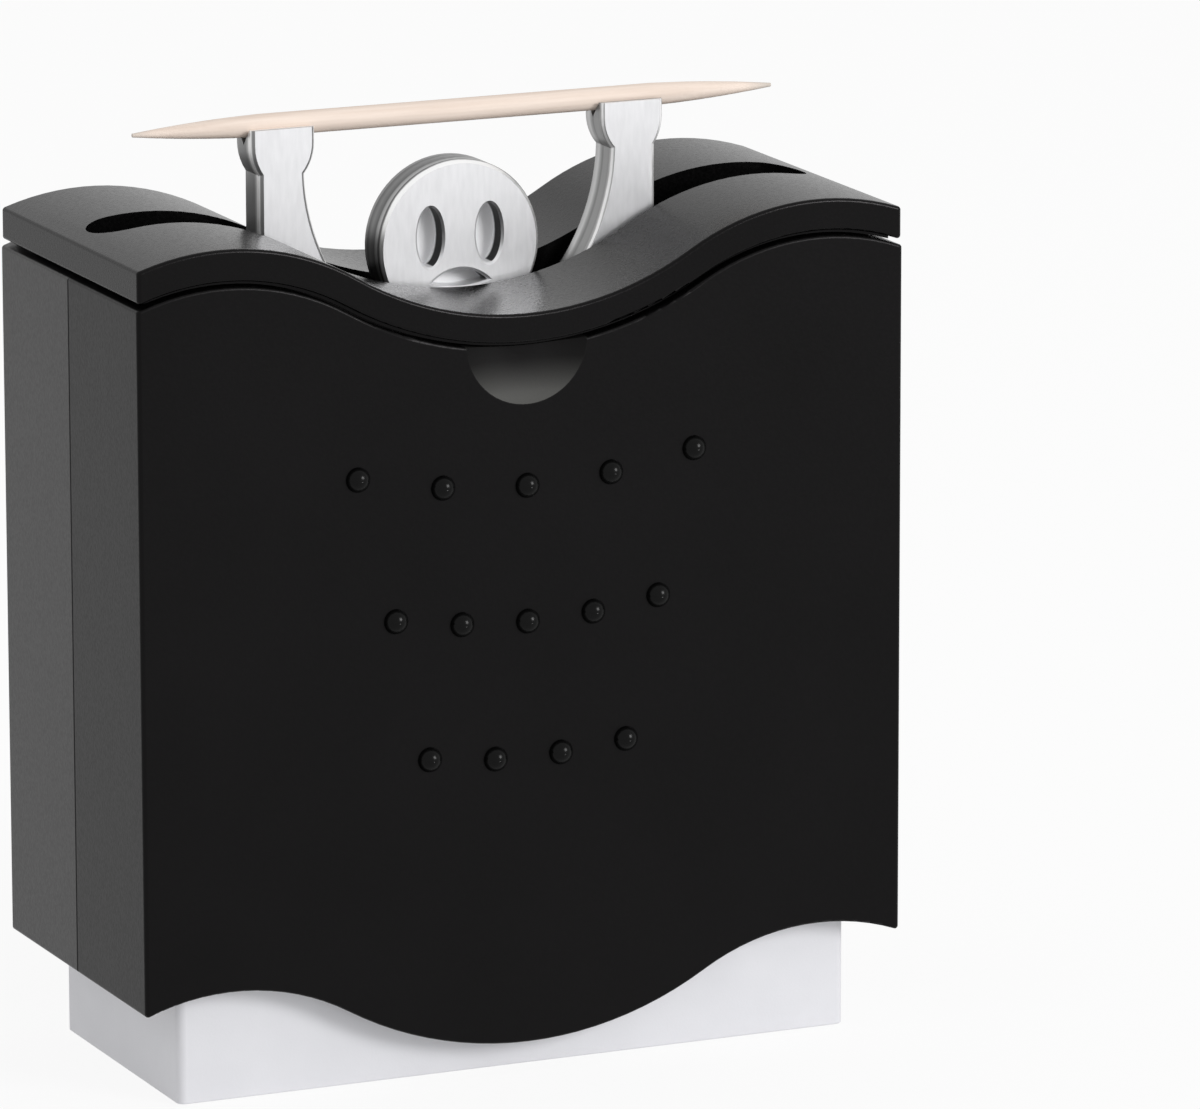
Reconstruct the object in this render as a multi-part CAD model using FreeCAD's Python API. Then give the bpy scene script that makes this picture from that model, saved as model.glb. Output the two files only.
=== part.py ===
import FreeCAD, Part
import math
import os

# Toothpick dispenser in millimetres: +Z up, +X to the right, the front faces -Y,
# and the origin is on the table under the middle of the base.

# Toothpick, whose length sets the length of everything around it
pick_length = 65.0
pick_radius = 1.08
pick_tip_radius = 0.18
pick_taper = 12.5
pick_swell_share = 0.16
pick_shift = 0.5
pick_seat_clearance = 0.06
pick_end_clearance = 0.7
pick_floor_clearance = 0.25

# Outer case, a black clamshell whose brim and hem are waves
case_depth = 35.2
case_wall = 2.0
case_corner_radius = 0.4
case_inner_corner_radius = 0.6
case_edge_radius = 0.3
crest_inset = 8.55
hem_valley_z = 3.03
hem_rise = 8.2
hem_crest_radius = 23.2
brim_valley_z = 69.6
brim_rise = 8.1
brim_crest_radius = 24.0

# Seam between the case's two halves
seam_tongue_thickness = 0.9
seam_tongue_height = 1.2
seam_clearance = 0.1
seam_groove = 0.15

# Finger scoop in the front half's brim
scoop_radius = 6.1
scoop_depth = 1.4
scoop_floor_radius = 1.7
scoop_centre_rise = 0.8

# Posts that join the halves
post_inset = 9.55
post_radius = 2.4
post_pin_radius = 1.2
post_pin_length = 6.0
post_pin_clearance = 0.05
post_bore_spare = 1.0

# Lid, a wavy slab with a plug frame under it
lid_inset = 0.1
lid_gap = 0.5
lid_thickness = 2.7
lid_top_extra_rise = 0.3
lid_crest_radius = 25.5
lid_edge_radius = 0.35
lid_low_edge_radius = 0.3
lid_land_inset = 0.8
lid_land_clearance = 0.2
lid_slot_end_clearance = 4.0
lid_slot_width = 6.4
lid_frame_drop = 3.0
lid_frame_wall = 1.2
lid_frame_clearance = 0.2
lid_foot_rise = 4.3
lid_foot_clearance = 0.1
lid_ledge_height = 2.0

# Base, a silver box with a closed deck
base_end_gap = 2.35
base_side_gap = 1.1
base_corner_radius = 0.8
base_edge_radius = 0.15
base_wall = 1.8
base_rim_z = 0.1
base_deck_z = 35.4
base_plate_thickness = 1.6
base_plate_clearance = 0.1
pad_thickness = 1.0
pad_inset = 0.3
boss_radius = 3.0
boss_bury = 0.3
boss_bore_depth = 12.0
ballast_thickness = 5.0
ballast_end_clearance = 1.2
ballast_side_clearance = 1.0
bumper_radius = 3.0
bumper_inset = 6.5
bumper_recess = 0.6
bumper_height = 1.8
bumper_clearance = 0.1

# Screws and nuts
screw_radius = 1.2
screw_head_radius = 2.2
screw_head_height = 0.8
screw_clearance = 0.05
screw_length = 10.0
screw_tip = 1.0
bolt_radius = 1.5
bolt_head_radius = 2.6
bolt_head_height = 1.6
bolt_tip = 0.7
nut_flat_width = 5.5
nut_sides = 6
nut_height = 2.4
socket_radius = 0.9
socket_depth = 0.5

# Figure, a metal plate that lifts one toothpick, with its heights taken from the brim's valley
plate_thickness = 4.0
plate_chamfer = 0.35
stem_half = 9.0
stem_clearance = 0.3
shoulder_drop = 5.2
waist_drop = 16.0
side_swell = 1.2
shoulder_top_rise = 0.3
arm_outer_x = 20.1
shoulder_width = 9.8
crotch_rise = 1.8
elbow_width = 5.75
elbow_rise_share = 0.504
wrist_width = 4.5
wrist_outer_drop = 2.8
wrist_inner_drop = 2.9
hand_outer_bulge = 0.83
hand_inner_bulge = 1.05
hand_flat_height = 1.5
hand_top_rise = 19.3
run_on_share = 0.12
head_radius = 8.15
head_rise = 6.9
eye_reach = 3.0
eye_rise = 0.95
eye_half_width = 1.3
eye_half_height = 2.85
mouth_reach = 2.85
mouth_drop = 3.5
mouth_top_rise = 1.25
mouth_low_drop = 0.4
mouth_corner_run_share = 1.9
face_recess = 2.2
face_chamfer = 0.22
hand_groove_depth = 1.6
hand_groove_half = 1.4

# Bracket that bolts the figure's foot under the deck
bracket_half = 8.0
bracket_thickness = 1.5
bracket_wall_gap = 1.45
bracket_foot_rise = 2.0
stem_drop = 19.2
bolt_reach = 5.0
bolt_rise = 8.0

# Guide rails, steel strips screwed to the base's ends
rail_thickness = 1.2
rail_half = 5.0
rail_tab_reach = 2.0
rail_tab_height = 2.9
rail_top_rise = 2.8
rail_screw_radius = 1.0
rail_screw_head_radius = 2.0
rail_screw_head_height = 0.9
rail_screw_length = 7.0
rail_screw_deck_drop = 7.0
rail_screw_pitch = 9.0
rail_screw_foot = 5.0
rail_boss_radius = 2.6
rail_boss_length = 5.0
rail_pass_clearance = 1.0
rib_clearance = 0.3
rib_thickness = 1.2
rib_gap = 0.5
rib_foot_drop = 2.0

# Hopper, the trough that holds the stock
hopper_wall = 0.7
hopper_side_wall = 1.0
hopper_side_clearance = 0.2
hopper_end_clearance = 0.3
hopper_rim_drop = 3.2
hopper_end_rise = 4.0
hopper_side_height = 7.0
hopper_floor_thickness = 1.2
hopper_post_clearance = 0.4
trough_half = 3.2
plate_gate_clearance = 0.45
hand_gate_clearance = 0.6
hopper_tab_drop = 6.0
hopper_tab_height = 2.4
hopper_tab_inset = 3.6
hopper_tab_clearance = 0.05
shell_ledge_height = 2.0
shell_ledge_gap = 1.0
shell_ledge_inset = 2.6

# Studs, glossy domes pressed into the front, each row with its drop below the brim's valley
stud_radius = 1.2
stud_height = 1.0
stud_pin_radius = 0.7
stud_pin_length = 1.4
stud_hole_clearance = 0.05
stud_arc_radius = 72.0
stud_rows = {
    "stud_row_top": {"count": 5, "pitch": 8.5, "drop": 13.0},
    "stud_row_middle": {"count": 5, "pitch": 6.65, "drop": 25.94},
    "stud_row_bottom": {"count": 4, "pitch": 6.65, "drop": 38.9},
}

# Working allowances
overrun = 1.0
embed = 0.3
match_tolerance = 0.001

# Plan sizes, from the toothpick out to the case
hopper_inner_half_x = pick_length / 2 + pick_end_clearance
hopper_half_x = hopper_inner_half_x + hopper_wall
base_half_x = hopper_half_x + hopper_end_clearance
inner_half_x = base_half_x + base_end_gap
case_half_x = inner_half_x + case_wall
case_half_y = case_depth / 2
inner_half_y = case_half_y - case_wall
base_half_y = inner_half_y - base_side_gap
hopper_half_y = inner_half_y - hopper_side_clearance
cavity_half_x = base_half_x - base_wall
cavity_half_y = base_half_y - base_wall
boss_x = cavity_half_x - boss_radius + boss_bury
boss_y = cavity_half_y - boss_radius + boss_bury
crest_reach = case_half_x - crest_inset
post_reach = inner_half_x - post_inset
lid_slot_reach = pick_length / 2 + lid_slot_end_clearance
bumper_reach_y = base_half_y - bumper_inset
rail_outer_x = base_half_x + rail_thickness
rail_tab_half = rail_half + rail_tab_reach
hopper_tab_near = rail_tab_half + rail_pass_clearance
hopper_tab_far = inner_half_y - hopper_tab_inset
shell_ledge_far = inner_half_y - shell_ledge_inset

# Figure's places across and up
plate_half = plate_thickness / 2
hand_outer_x = arm_outer_x + hand_outer_bulge
wrist_inner_x = arm_outer_x - wrist_width
hand_inner_x = wrist_inner_x - hand_inner_bulge
elbow_x = arm_outer_x - elbow_width
crotch_x = arm_outer_x - shoulder_width
hand_top_z = brim_valley_z + hand_top_rise
hand_bulge_z = hand_top_z - hand_flat_height
wrist_outer_z = hand_bulge_z - wrist_outer_drop
wrist_inner_z = hand_bulge_z - wrist_inner_drop
crotch_z = brim_valley_z + crotch_rise
elbow_z = crotch_z + (wrist_inner_z - crotch_z) * elbow_rise_share
head_z = brim_valley_z + head_rise
eye_z = head_z + eye_rise
mouth_z = head_z - mouth_drop
shoulder_top_z = brim_valley_z + shoulder_top_rise
shoulder_z = brim_valley_z - shoulder_drop
waist_z = shoulder_z - waist_drop

# Heights that follow from the deck
base_plate_z = pad_thickness
base_plate_top_z = base_plate_z + base_plate_thickness
deck_under_z = base_deck_z - base_wall
foot_z = deck_under_z - stem_drop
bolt_z = foot_z + bolt_rise
bracket_web_z = foot_z + bracket_foot_rise
bracket_flange = cavity_half_y - plate_half - bracket_wall_gap
bumper_top_z = base_deck_z - bumper_recess + bumper_height
post_z = bumper_top_z + bumper_clearance + post_radius
rail_screw_high_z = base_deck_z - rail_screw_deck_drop
rail_screw_low_z = rail_screw_high_z - rail_screw_pitch
rail_foot_z = rail_screw_low_z - rail_screw_foot
rib_foot_z = rail_foot_z - rib_foot_drop

# Heights that follow from the brim
scoop_centre_z = brim_valley_z + scoop_centre_rise
lid_foot_z = brim_valley_z + lid_foot_rise
rail_top_z = brim_valley_z + rail_top_rise
rail_tab_z = rail_top_z - rail_tab_height
hopper_rim_z = brim_valley_z - hopper_rim_drop
hopper_end_rim_z = brim_valley_z + hopper_end_rise
hopper_shoulder_z = hopper_rim_z - hopper_side_height
hopper_tab_z = hopper_rim_z - hopper_tab_drop

# Toothpick's seat, and the lift that brings the hopper's floor up to it
groove_bottom_z = hand_top_z - hand_groove_depth
groove_half_angle = math.atan2(hand_groove_half, hand_groove_depth)
pick_z = groove_bottom_z + (pick_radius + pick_seat_clearance) / math.sin(groove_half_angle)
trough_z = post_z + post_radius + hopper_post_clearance + hopper_floor_thickness
lift_stroke = pick_z - pick_radius - pick_floor_clearance - trough_z
rib_top_z = rail_tab_z - lift_stroke - match_tolerance
gate_half_x = hand_outer_x + hand_gate_clearance
gate_half_y = plate_half + plate_gate_clearance

hem_wave = (hem_valley_z, hem_rise, hem_crest_radius)
brim_wave = (brim_valley_z, brim_rise, brim_crest_radius)
lid_under_wave = (brim_valley_z + lid_gap, brim_rise, brim_crest_radius)
lid_top_wave = (
    brim_valley_z + lid_gap + lid_thickness,
    brim_rise + lid_top_extra_rise,
    lid_crest_radius,
)


def point(x, y, z):
    return FreeCAD.Vector(x, y, z)


along_x = point(1, 0, 0)
along_y = point(0, 1, 0)
along_z = point(0, 0, 1)


def block(x_low, x_high, y_low, y_high, z_low, z_high):
    return Part.makeBox(x_high - x_low, y_high - y_low, z_high - z_low, point(x_low, y_low, z_low))


def rod(radius, start, direction, length):
    return Part.makeCylinder(radius, length, start, direction)


def fuse_all(shapes):
    first = shapes[0]
    return first.multiFuse(shapes[1:]).removeSplitter() if len(shapes) > 1 else first


def rounded_block(half_x, half_y, radius, z_low, z_high):
    # upright block whose four standing edges are rounded
    solid = block(-half_x, half_x, -half_y, half_y, z_low, z_high)
    height = z_high - z_low
    standing = [edge for edge in solid.Edges if abs(edge.BoundBox.ZLength - height) < match_tolerance]
    return solid.makeFillet(radius, standing)


def valley_radius(wave):
    # the valley's arc meets the crest's arc in line
    valley_z, rise, crest_radius = wave
    return (crest_reach ** 2 + rise ** 2) / (2 * rise) - crest_radius


def tangent_x(wave):
    valley_z, rise, crest_radius = wave
    return crest_reach * valley_radius(wave) / (valley_radius(wave) + crest_radius)


def wave_z(wave, x):
    # height of a wave at one place along X
    valley_z, rise, crest_radius = wave
    reach = abs(x)
    if reach <= tangent_x(wave):
        radius = valley_radius(wave)
        return valley_z + radius - math.sqrt(radius ** 2 - reach ** 2)
    crest_z = valley_z + rise
    return crest_z - crest_radius + math.sqrt(crest_radius ** 2 - (reach - crest_reach) ** 2)


def wave_edges(wave, half_x, y):
    # a crest, the valley and the other crest, each one arc
    stops = [-half_x, -tangent_x(wave), tangent_x(wave), half_x]
    arcs = []
    for left, right in zip(stops, stops[1:]):
        middle = (left + right) / 2
        ends = [point(x, y, wave_z(wave, x)) for x in (left, middle, right)]
        arcs.append(Part.Arc(*ends).toShape())
    return arcs


def wave_band(low_wave, high_wave, half_x, half_y):
    # the space between two waves, as deep as it is asked for
    low = wave_edges(low_wave, half_x, -half_y)
    high = wave_edges(high_wave, half_x, -half_y)
    sides = [
        Part.makeLine(point(x, -half_y, wave_z(low_wave, x)), point(x, -half_y, wave_z(high_wave, x)))
        for x in (-half_x, half_x)
    ]
    outline = Part.Wire(Part.sortEdges(low + high + sides)[0])
    return Part.Face(outline).extrude(point(0, 2 * half_y, 0))


def rim_edges(solid, wave):
    # the edges that lie in the wave's surface all the way along
    rim = []
    for edge in solid.Edges:
        first, last = edge.ParameterRange
        middle = edge.valueAt((first + last) / 2)
        ends = [edge.valueAt(first), edge.valueAt(last)]
        across = abs(ends[0].x - ends[1].x) < match_tolerance and abs(middle.x) < inner_half_x
        if across:
            continue
        if all(abs(place.z - wave_z(wave, place.x)) < match_tolerance for place in ends + [middle]):
            rim.append(edge)
    return rim


def both_ends(make):
    # the same feature at the right end and at the left end
    right = make()
    return [right, right.mirror(point(0, 0, 0), along_x)]


def case_tube():
    # the whole case before it is parted: four walls between the hem and the brim, both rounded outside
    low_z = hem_valley_z - overrun
    high_z = brim_valley_z + brim_rise + overrun
    outside = rounded_block(case_half_x, case_half_y, case_corner_radius, low_z, high_z)
    inside = rounded_block(
        inner_half_x, inner_half_y, case_inner_corner_radius, low_z - overrun, high_z + overrun
    )
    between = wave_band(hem_wave, brim_wave, case_half_x + overrun, case_half_y + overrun)
    block_round = outside.common(between)
    rims = rim_edges(block_round, brim_wave) + rim_edges(block_round, hem_wave)
    return block_round.makeFillet(case_edge_radius, rims).cut(inside)


def side_zone(y_low, y_high, thickness):
    # slices along the inner faces of both end walls
    top_z = brim_valley_z + brim_rise + overrun
    return fuse_all(both_ends(lambda: block(
        inner_half_x - embed, inner_half_x + thickness, y_low, y_high, 0, top_z
    )))


def seam_notches():
    # a fine V line where the halves meet
    top_z = brim_valley_z + brim_rise + overrun

    def notch():
        corners = [
            point(case_half_x + seam_groove, -2 * seam_groove, 0),
            point(case_half_x - seam_groove, 0, 0),
            point(case_half_x + seam_groove, 2 * seam_groove, 0),
        ]
        corners.append(corners[0])
        return Part.Face(Part.makePolygon(corners)).extrude(point(0, 0, top_z))

    return both_ends(notch)


def shell_ribs(side):
    # guide ribs beside the rails, pockets for the hopper's tabs and ledges for the lid
    rail_side = rail_half + rib_clearance
    tip_x = base_half_x + rib_gap
    wall_x = inner_half_x + embed
    ledge_x = hopper_half_x + shell_ledge_gap
    tab_low = hopper_tab_z - hopper_tab_clearance
    tab_high = hopper_tab_z + hopper_tab_height + hopper_tab_clearance
    lid_ledge_x = inner_half_x - lid_frame_clearance - lid_frame_wall

    def span(near, far):
        return sorted((side * near, side * far))

    guide_y = span(rail_side, rail_side + rib_thickness)
    pocket_y = span(hopper_tab_near, shell_ledge_far)
    lid_y = span(hopper_tab_near, shell_ledge_far)
    pieces = [
        lambda: block(tip_x, wall_x, *guide_y, rib_foot_z, rib_top_z),
        lambda: block(ledge_x, wall_x, *pocket_y, tab_low - shell_ledge_height, tab_low),
        lambda: block(ledge_x, wall_x, *pocket_y, tab_high, tab_high + shell_ledge_height),
        lambda: block(lid_ledge_x, wall_x, *lid_y, lid_foot_z - lid_ledge_height, lid_foot_z),
    ]
    return [solid for make in pieces for solid in both_ends(make)]


def front_shell():
    top_z = brim_valley_z + brim_rise + overrun
    half = case_tube().common(block(
        -case_half_x - overrun, case_half_x + overrun, -case_half_y - overrun, 0, 0, top_z
    ))
    rebate = side_zone(
        -seam_tongue_height - seam_clearance, overrun, seam_tongue_thickness + seam_clearance
    )
    wall_y = -inner_half_y - embed
    posts = [rod(post_radius, point(x, wall_y, post_z), along_y, -wall_y) for x in (-post_reach, post_reach)]
    shell = half.cut(rebate).multiFuse(posts + shell_ribs(-1))
    bore_length = post_pin_length + post_bore_spare
    bores = [
        rod(post_pin_radius + post_pin_clearance, point(x, -bore_length, post_z), along_y, bore_length)
        for x in (-post_reach, post_reach)
    ]
    hole_radius = stud_pin_radius + stud_hole_clearance
    hole_depth = stud_pin_length + stud_hole_clearance
    holes = [
        rod(hole_radius, point(x, -case_half_y, z), along_y, hole_depth)
        for row in stud_rows.values()
        for x, z in stud_places(row)
    ]
    return shell.cut(bores + [finger_scoop()] + holes + seam_notches()).removeSplitter()


def finger_scoop():
    # a round dish with a small level floor, whose rim rises in one arc
    run = scoop_radius - scoop_floor_radius
    rim_radius = (run ** 2 + scoop_depth ** 2) / (2 * scoop_depth)
    turn = math.asin(run / rim_radius) / 2
    rim_middle = point(
        scoop_floor_radius + rim_radius * math.sin(turn), scoop_depth - rim_radius * (1 - math.cos(turn)), 0
    )
    rim_end = point(scoop_radius, 0, 0)
    corners = [point(0, -overrun, 0), point(0, scoop_depth, 0), point(scoop_floor_radius, scoop_depth, 0)]
    profile = Part.Wire([
        Part.makeLine(corners[0], corners[1]),
        Part.makeLine(corners[1], corners[2]),
        Part.Arc(corners[2], rim_middle, rim_end).toShape(),
        Part.makeLine(rim_end, point(scoop_radius, -overrun, 0)),
        Part.makeLine(point(scoop_radius, -overrun, 0), corners[0]),
    ])
    dish = Part.Face(profile).revolve(point(0, 0, 0), along_y, 360)
    dish.translate(point(0, -case_half_y, scoop_centre_z))
    return dish


def rear_shell():
    top_z = brim_valley_z + brim_rise + overrun
    tube = case_tube()
    half = tube.common(block(
        -case_half_x - overrun, case_half_x + overrun, 0, case_half_y + overrun, 0, top_z
    ))
    tongue = tube.common(side_zone(-seam_tongue_height, 0, seam_tongue_thickness))
    wall_y = inner_half_y + embed
    posts = [rod(post_radius, point(x, 0, post_z), along_y, wall_y) for x in (-post_reach, post_reach)]
    pins = [
        rod(post_pin_radius, point(x, -post_pin_length, post_z), along_y, post_pin_length + overrun)
        for x in (-post_reach, post_reach)
    ]
    shell = half.multiFuse([tongue] + posts + pins + shell_ribs(1))
    return shell.cut(seam_notches()).removeSplitter()


def stud_places(row):
    # the studs of a row lie on one wide upward arc
    first = -(row["count"] - 1) / 2
    places = []
    for number in range(row["count"]):
        x = (first + number) * row["pitch"]
        lowest_z = brim_valley_z - row["drop"]
        z = lowest_z + stud_arc_radius - math.sqrt(stud_arc_radius ** 2 - x ** 2)
        places.append((x, z))
    return places


def stud_row(row):
    # each stud is a low dome on a pin
    ball_radius = (stud_radius ** 2 + stud_height ** 2) / (2 * stud_height)
    middle_reach = stud_radius / 2
    middle_height = stud_height - ball_radius + math.sqrt(ball_radius ** 2 - middle_reach ** 2)
    profile = Part.Wire([
        Part.makeLine(point(0, stud_pin_length, 0), point(stud_pin_radius, stud_pin_length, 0)),
        Part.makeLine(point(stud_pin_radius, stud_pin_length, 0), point(stud_pin_radius, 0, 0)),
        Part.makeLine(point(stud_pin_radius, 0, 0), point(stud_radius, 0, 0)),
        Part.Arc(
            point(stud_radius, 0, 0), point(middle_reach, -middle_height, 0), point(0, -stud_height, 0)
        ).toShape(),
        Part.makeLine(point(0, -stud_height, 0), point(0, stud_pin_length, 0)),
    ])
    stud = Part.Face(profile).revolve(point(0, 0, 0), along_y, 360)
    studs = []
    for x, z in stud_places(row):
        placed = stud.copy()
        placed.translate(point(x, -case_half_y, z))
        studs.append(placed)
    return Part.makeCompound(studs)


def lid():
    # a wavy slab, rounded along its edges, with a land that lies just over the brim inside a
    # shadow groove, and a plug frame that drops into the case
    half_x = case_half_x - lid_inset
    half_y = case_half_y - lid_inset / 2
    low_z = brim_valley_z - lid_frame_drop - overrun
    high_z = brim_valley_z + brim_rise + lid_gap + lid_thickness + lid_top_extra_rise + overrun
    block_round = rounded_block(half_x, half_y, case_corner_radius, low_z, high_z)
    slab = block_round.common(
        wave_band(lid_under_wave, lid_top_wave, case_half_x + overrun, case_half_y + overrun)
    )
    slab = slab.makeFillet(lid_edge_radius, rim_edges(slab, lid_top_wave))
    slab = slab.makeFillet(lid_low_edge_radius, rim_edges(slab, lid_under_wave))
    land_half_x = half_x - lid_land_inset
    land_half_y = half_y - lid_land_inset
    land_wave = (brim_valley_z + lid_land_clearance, brim_rise, brim_crest_radius)
    frame_half_x = inner_half_x - lid_frame_clearance
    frame_half_y = inner_half_y - lid_frame_clearance
    frame_low_wave = (lid_under_wave[0] - lid_frame_drop, brim_rise, brim_crest_radius)
    frame_high_wave = (lid_under_wave[0] + embed, brim_rise, brim_crest_radius)
    land = rounded_block(land_half_x, land_half_y, case_inner_corner_radius, low_z, high_z).common(
        wave_band(land_wave, frame_high_wave, case_half_x + overrun, case_half_y + overrun)
    )
    ring = rounded_block(frame_half_x, frame_half_y, case_inner_corner_radius, low_z, high_z).cut(block(
        -frame_half_x + lid_frame_wall, frame_half_x - lid_frame_wall,
        -frame_half_y + lid_frame_wall, frame_half_y - lid_frame_wall, low_z - overrun, high_z + overrun,
    ))
    ring = ring.common(
        wave_band(frame_low_wave, frame_high_wave, case_half_x + overrun, case_half_y + overrun)
    )
    feet = both_ends(lambda: block(
        frame_half_x - lid_frame_wall, frame_half_x,
        -shell_ledge_far, shell_ledge_far,
        lid_foot_z + lid_foot_clearance, wave_z(lid_under_wave, frame_half_x) + embed,
    ))
    under_feet = both_ends(lambda: block(
        frame_half_x - lid_frame_wall - embed, case_half_x, -case_half_y, case_half_y,
        low_z - overrun, lid_foot_z + lid_foot_clearance,
    ))
    slot_end_x = lid_slot_reach - lid_slot_width / 2
    slot = block(
        -slot_end_x, slot_end_x, -lid_slot_width / 2, lid_slot_width / 2, low_z - overrun, high_z + overrun
    ).multiFuse([
        rod(lid_slot_width / 2, point(x, 0, low_z - overrun), along_z, high_z - low_z + 2 * overrun)
        for x in (-slot_end_x, slot_end_x)
    ])
    return slab.multiFuse([land, ring] + feet).cut(under_feet + [slot]).removeSplitter()


def boss_places():
    return [(x, y) for x in (-boss_x, boss_x) for y in (-boss_y, boss_y)]


def rail_screw_levels():
    return [rail_screw_low_z, rail_screw_high_z]


def base_housing():
    outside = rounded_block(base_half_x, base_half_y, base_corner_radius, base_rim_z, base_deck_z)
    foot_rim = [edge for edge in outside.Edges if edge.BoundBox.ZMax < base_rim_z + match_tolerance]
    outside = outside.makeFillet(base_edge_radius, foot_rim)
    inside = block(
        -cavity_half_x, cavity_half_x, -cavity_half_y, cavity_half_y, base_rim_z - overrun, deck_under_z
    )
    bosses = [
        rod(boss_radius, point(x, y, base_plate_top_z), along_z, deck_under_z + embed - base_plate_top_z)
        for x, y in boss_places()
    ]
    rail_bosses = [
        solid
        for z in rail_screw_levels()
        for solid in both_ends(lambda: rod(
            rail_boss_radius, point(cavity_half_x - rail_boss_length, 0, z), along_x,
            rail_boss_length + embed,
        ))
    ]
    shell = outside.cut(inside).multiFuse(bosses + rail_bosses)
    bores = [
        rod(screw_radius + screw_clearance, point(x, y, base_plate_top_z - overrun), along_z,
            boss_bore_depth + overrun)
        for x, y in boss_places()
    ]
    rail_bores = [
        solid
        for z in rail_screw_levels()
        for solid in both_ends(lambda: rod(
            rail_screw_radius + screw_clearance, point(cavity_half_x - rail_boss_length - overrun, 0, z),
            along_x, base_half_x,
        ))
    ]
    stem_gate = block(
        -stem_half - stem_clearance, stem_half + stem_clearance,
        -plate_half - stem_clearance, plate_half + stem_clearance,
        deck_under_z - overrun, base_deck_z + overrun,
    )
    seats = [
        rod(bumper_radius + screw_clearance, point(x, y, base_deck_z - bumper_recess), along_z, overrun)
        for x, y in bumper_places()
    ]
    screw_seats = [deck_screw_hole(x) for x in (-bolt_reach, bolt_reach)]
    return shell.cut(bores + rail_bores + [stem_gate] + seats + screw_seats).removeSplitter()


def bracket_screw_y():
    return plate_half + bracket_thickness + (bracket_flange - bracket_thickness) / 2


def deck_screw_hole(x):
    y = bracket_screw_y()
    start = point(x, y, deck_under_z - overrun)
    hole = rod(screw_radius + screw_clearance, start, along_z, base_wall + overrun)
    head = rod(
        screw_head_radius + screw_clearance, point(x, y, base_deck_z - screw_head_height), along_z, overrun
    )
    return hole.fuse(head)


def bumper_places():
    return [(x, y) for x in (-post_reach, post_reach) for y in (-bumper_reach_y, bumper_reach_y)]


def deck_bumpers():
    # low rubber buttons that the posts of the lowered case land on
    buttons = []
    for x, y in bumper_places():
        button = rod(bumper_radius, point(x, y, base_deck_z - bumper_recess), along_z, bumper_height)
        buttons.append(button)
    return Part.makeCompound(buttons)


def base_plate():
    half_x = cavity_half_x - base_plate_clearance
    half_y = cavity_half_y - base_plate_clearance
    plate = block(-half_x, half_x, -half_y, half_y, base_plate_z, base_plate_top_z)
    cuts = []
    for x, y in boss_places():
        start = point(x, y, base_plate_z - overrun)
        cuts.append(rod(screw_radius + screw_clearance, start, along_z, base_plate_thickness + 2 * overrun))
        cuts.append(rod(screw_head_radius + screw_clearance, start, along_z, screw_head_height + overrun))
    return plate.cut(cuts)


def headed_screw(radius, head_radius, head_height, length):
    # head from zero to its height, shank above it, with a socket in the head
    head = rod(head_radius, point(0, 0, 0), along_z, head_height)
    shank = rod(radius, point(0, 0, 0), along_z, length)
    socket = rod(socket_radius, point(0, 0, 0), along_z, socket_depth)
    return head.fuse(shank).cut(socket).removeSplitter()


def base_screws():
    screws = []
    for x, y in boss_places():
        screw = headed_screw(screw_radius, screw_head_radius, screw_head_height, screw_length)
        screw.translate(point(x, y, base_plate_z))
        screws.append(screw)
    return Part.makeCompound(screws)


def ballast_plate():
    # steel weight that keeps the base on the table while the case is lifted
    half_x = boss_x - boss_radius - ballast_end_clearance
    half_y = cavity_half_y - ballast_side_clearance
    top_z = base_plate_top_z + ballast_thickness
    return rounded_block(half_x, half_y, base_corner_radius, base_plate_top_z, top_z)


def non_slip_pad():
    half_x = cavity_half_x - pad_inset
    half_y = cavity_half_y - pad_inset
    return rounded_block(half_x, half_y, base_wall, 0, pad_thickness)


def guide_rail(side):
    inner_x = base_half_x
    strip = block(inner_x, rail_outer_x, -rail_half, rail_half, rail_foot_z, rail_top_z)
    tab = block(inner_x, rail_outer_x, -rail_tab_half, rail_tab_half, rail_tab_z, rail_top_z)
    rail = strip.fuse(tab)
    holes = []
    for z in rail_screw_levels():
        holes.append(rod(rail_screw_radius + screw_clearance, point(inner_x - overrun, 0, z), along_x,
                         rail_thickness + 2 * overrun))
        holes.append(Part.makeCone(
            rail_screw_radius + screw_clearance, rail_screw_head_radius + screw_clearance,
            rail_screw_head_height, point(rail_outer_x - rail_screw_head_height, 0, z), along_x,
        ))
    rail = rail.cut(holes).removeSplitter()
    return rail if side > 0 else rail.mirror(point(0, 0, 0), along_x)


def rail_screws():
    # countersunk, flush with the rails' outer faces
    screws = []
    for z in rail_screw_levels():
        head = Part.makeCone(
            rail_screw_radius, rail_screw_head_radius, rail_screw_head_height,
            point(rail_outer_x - rail_screw_head_height, 0, z), along_x,
        )
        shank = rod(rail_screw_radius, point(rail_outer_x - rail_screw_length, 0, z), along_x,
                    rail_screw_length - rail_screw_head_height)
        screw = head.fuse(shank).removeSplitter()
        screws += [screw, screw.mirror(point(0, 0, 0), along_x)]
    return Part.makeCompound(screws)


def arc_run_on(start, middle, end):
    # an arc that runs on a little past its end, into the piece it joins
    circle = Part.Circle(start, middle, end)
    return Part.ArcOfCircle(circle, 0, circle.parameter(end) * (1 + run_on_share))


def hand_arc(wrist_x, wrist_z, hand_x):
    # leaves the side of the hand straight down and curves in to the wrist
    drop = hand_bulge_z - wrist_z
    reach = hand_x - wrist_x
    radius = (reach ** 2 + drop ** 2) / (2 * abs(reach))
    turn = math.asin(drop / radius) / 2
    side = math.copysign(radius, reach)
    middle_x = hand_x - side + side * math.cos(turn)
    middle_z = hand_bulge_z - radius * math.sin(turn)
    return arc_run_on(flat_point(hand_x, hand_bulge_z), flat_point(middle_x, middle_z),
                      flat_point(wrist_x, wrist_z))


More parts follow.
